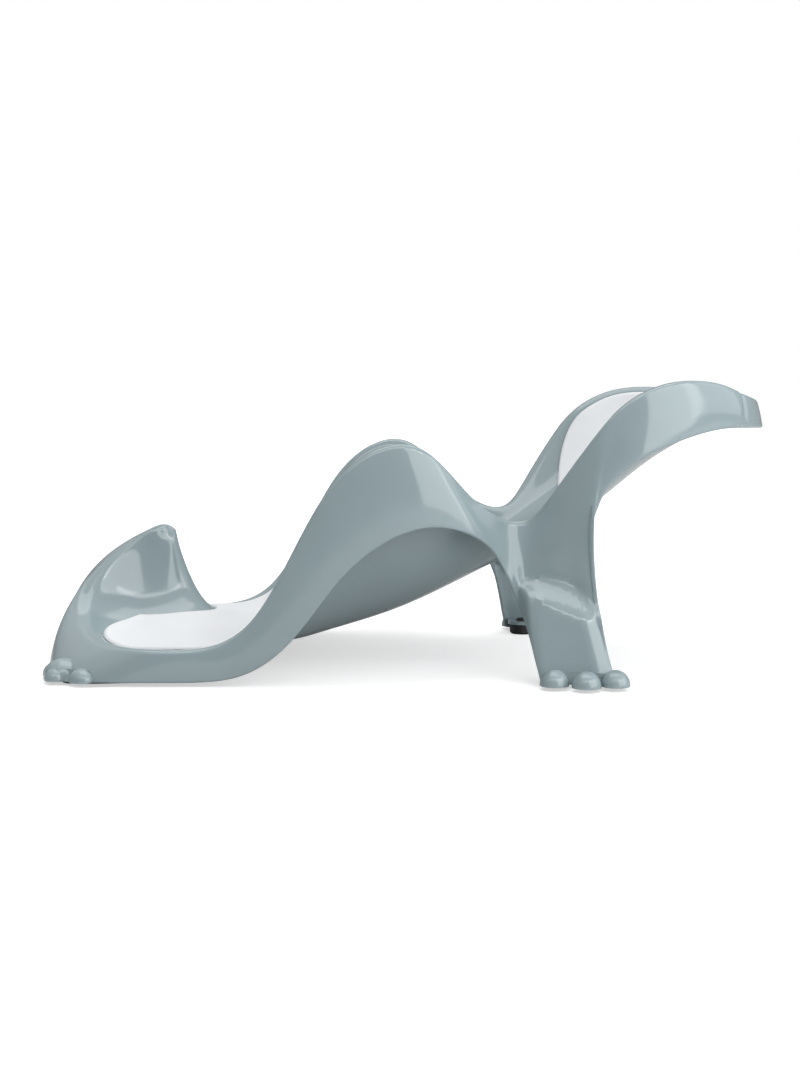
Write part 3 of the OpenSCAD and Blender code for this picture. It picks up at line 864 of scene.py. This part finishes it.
def rubber_material():
    """Matt black rubber, greyer where it has been handled."""
    colour = bpy.context.scene.seat_finish.rubber
    return finish_of("black_rubber", colour, 0.35, (0.5, 0.75), 90.0,
                     [(700.0, 0.15, 0.0003), (3000.0, 0.2, 0.0001)])


class SeatStageSettings(bpy.types.PropertyGroup):
    """Where the camera stands and how it looks."""

    place: FloatVectorProperty(
        name="Camera", description="Place of the camera",
        default=(-0.032, -1.188, 0.197), subtype="TRANSLATION")
    yaw: FloatProperty(
        name="Yaw", description="Turn towards the headrest", default=math.radians(1.187), subtype="ANGLE")
    pitch: FloatProperty(
        name="Pitch", description="Tilt below level", default=math.radians(4.632), subtype="ANGLE")
    focal: FloatProperty(
        name="Focal", description="Focal length in the photograph", default=1444.0, subtype="PIXEL")
    picture_height: FloatProperty(
        name="Height", description="Height of the photograph", default=1070.0, subtype="PIXEL")


# The lamps, which all look at the same point: name, place, width and height, and power
LIT_POINT = (0.0, 0.0, 0.12)
LAMPS = [
    ("right_box", (1.1, -1.02, 0.62), (1.5, 1.2), 14.5),
    ("side_box", (1.6, -0.2, 0.75), (1.0, 1.1), 4.0),
    ("left_box", (-1.5, -0.45, 0.6), (1.2, 1.3), 0.4),
    ("top_box", (0.0, 0.1, 1.6), (1.6, 1.2), 10.0),
    ("back_box", (-1.2, 1.0, 1.0), (1.4, 1.2), 1.5),
    ("front_strip", (0.1, -1.15, 1.15), (2.2, 0.18), 4.0),
]
SENSOR_WIDTH = 36
NEAREST_SEEN = 0.05

# The floor, and how its glow to the camera rises with the distance from the middle: from and to
# which distance, and from and to which strength
FLOOR_HALF = 30.0
FLOOR_COLOUR = (0.65, 0.65, 0.65, 1)
FLOOR_GLOW = (0.35, 1.3, 0.55, 1.0)

# The studio's light by the height of its direction, given in the same way
STUDIO_GLOW = (0.3, 0.9, 0.25, 0.9)
RANGE_KEYS = ("From Min", "From Max", "To Min", "To Max")
WHITE = (1, 1, 1, 1)


def area_light(name, place, size, power):
    """A soft rectangular light that looks at the seat."""
    data = bpy.data.lights.new(name, "AREA")
    data.shape = "RECTANGLE"
    data.size, data.size_y = size
    data.energy = power
    light = bpy.data.objects.new(name, data)
    light.location = place
    light.rotation_euler = (Vector(LIT_POINT) - Vector(place)).to_track_quat("-Z", "Y").to_euler()
    bpy.context.scene.collection.objects.link(light)


def smooth_range(tree, values):
    """A node that runs evenly between two values over a range."""
    node = tree.nodes.new("ShaderNodeMapRange")
    node.interpolation_type = "SMOOTHSTEP"
    for key, value in zip(RANGE_KEYS, values):
        node.inputs[key].default_value = value
    return node


def make_floor():
    """A wide pale floor on which the seat's shade shows.

    Its own glow to the camera brings it to the backdrop's white, fully so away from the seat.
    """
    mesh = bpy.data.meshes.new("studio_floor")
    corners = [(-FLOOR_HALF, -FLOOR_HALF, 0), (FLOOR_HALF, -FLOOR_HALF, 0),
               (FLOOR_HALF, FLOOR_HALF, 0), (-FLOOR_HALF, FLOOR_HALF, 0)]
    mesh.from_pydata(corners, [], [(0, 1, 2, 3)])
    floor = bpy.data.objects.new("studio_floor", mesh)
    bpy.context.scene.collection.objects.link(floor)
    material, tree, shader = new_material("pale_floor")
    shader.inputs["Base Color"].default_value = FLOOR_COLOUR
    shader.inputs["Roughness"].default_value = 1.0
    shader.inputs["Specular IOR Level"].default_value = 0.0
    shader.inputs["Emission Color"].default_value = WHITE
    add, link = tree.nodes.new, tree.links.new
    place = add("ShaderNodeTexCoord")
    away = add("ShaderNodeVectorMath")
    away.operation = "LENGTH"
    glow = smooth_range(tree, FLOOR_GLOW)
    path = add("ShaderNodeLightPath")
    seen = add("ShaderNodeMath")
    seen.operation = "MAXIMUM"
    strength = add("ShaderNodeMath")
    strength.operation = "MULTIPLY"
    link(place.outputs["Object"], away.inputs[0])
    link(away.outputs["Value"], glow.inputs["Value"])
    link(path.outputs["Is Camera Ray"], seen.inputs[0])
    link(path.outputs["Is Transmission Ray"], seen.inputs[1])
    link(seen.outputs[0], strength.inputs[0])
    link(glow.outputs["Result"], strength.inputs[1])
    link(strength.outputs[0], shader.inputs["Emission Strength"])
    mesh.materials.append(material)


def make_world():
    """White backdrop for the camera, and a studio that is dim at the sides and brighter overhead."""
    world = bpy.data.worlds.new("studio")
    bpy.context.scene.world = world
    world.use_nodes = True
    tree = world.node_tree
    tree.nodes.clear()
    add, link = tree.nodes.new, tree.links.new
    out = add("ShaderNodeOutputWorld")
    mix = add("ShaderNodeMixShader")
    path = add("ShaderNodeLightPath")
    white = add("ShaderNodeBackground")
    soft = add("ShaderNodeBackground")
    place = add("ShaderNodeTexCoord")
    parts = add("ShaderNodeSeparateXYZ")
    dim = smooth_range(tree, STUDIO_GLOW)
    white.inputs["Color"].default_value = WHITE
    soft.inputs["Color"].default_value = WHITE
    link(place.outputs["Generated"], parts.inputs[0])
    link(parts.outputs["Z"], dim.inputs["Value"])
    link(dim.outputs["Result"], soft.inputs["Strength"])
    link(path.outputs["Is Camera Ray"], mix.inputs["Fac"])
    link(soft.outputs[0], mix.inputs[1])
    link(white.outputs[0], mix.inputs[2])
    link(mix.outputs[0], out.inputs["Surface"])


class BATHSEAT_OT_stage(bpy.types.Operator):
    """Set the camera, the lights and the floor"""

    bl_idname = "bathseat.stage"
    bl_label = "Stage"

    def execute(self, context):
        scene = context.scene
        stage = scene.seat_stage
        data = bpy.data.cameras.new("camera")
        data.sensor_width = SENSOR_WIDTH
        data.sensor_fit = "AUTO"
        data.lens = data.sensor_width * stage.focal / stage.picture_height
        data.clip_start = NEAREST_SEEN
        camera = bpy.data.objects.new("camera", data)
        camera.location = stage.place
        camera.rotation_euler = (math.pi / 2 - stage.pitch, 0, -stage.yaw)
        scene.collection.objects.link(camera)
        scene.camera = camera
        scene.view_settings.view_transform = "Standard"
        make_floor()
        make_world()
        for lamp in LAMPS:
            area_light(*lamp)
        return {"FINISHED"}


class BATHSEAT_PT_panel(bpy.types.Panel):
    """Buttons and sizes of the bath seat"""

    bl_label = "Bath Seat"
    bl_space_type = "VIEW_3D"
    bl_region_type = "UI"
    bl_category = "Bath Seat"

    def draw(self, context):
        for group in SETTINGS:
            settings = getattr(context.scene, group)
            for name in settings.__annotations__:
                self.layout.prop(settings, name)
        for operator in OPERATORS:
            self.layout.operator(operator.bl_idname)


SETTINGS = {
    "seat_shell": SeatShellSettings,
    "seat_pads": SeatPadSettings,
    "seat_finish": SeatFinishSettings,
    "seat_stage": SeatStageSettings,
}
OPERATORS = (BATHSEAT_OT_shell, BATHSEAT_OT_pads, BATHSEAT_OT_feet, BATHSEAT_OT_stage)


def register():
    for name, settings in SETTINGS.items():
        bpy.utils.register_class(settings)
        setattr(bpy.types.Scene, name, PointerProperty(type=settings))
    for part in OPERATORS + (BATHSEAT_PT_panel,):
        bpy.utils.register_class(part)


def unregister():
    for part in (BATHSEAT_PT_panel,) + OPERATORS[::-1]:
        bpy.utils.unregister_class(part)
    for name, settings in SETTINGS.items():
        delattr(bpy.types.Scene, name)
        bpy.utils.unregister_class(settings)


def main():
    register()
    bpy.ops.bathseat.shell()
    bpy.ops.bathseat.pads()
    bpy.ops.bathseat.feet()
    bpy.ops.bathseat.stage()


if __name__ == "__main__":
    main()
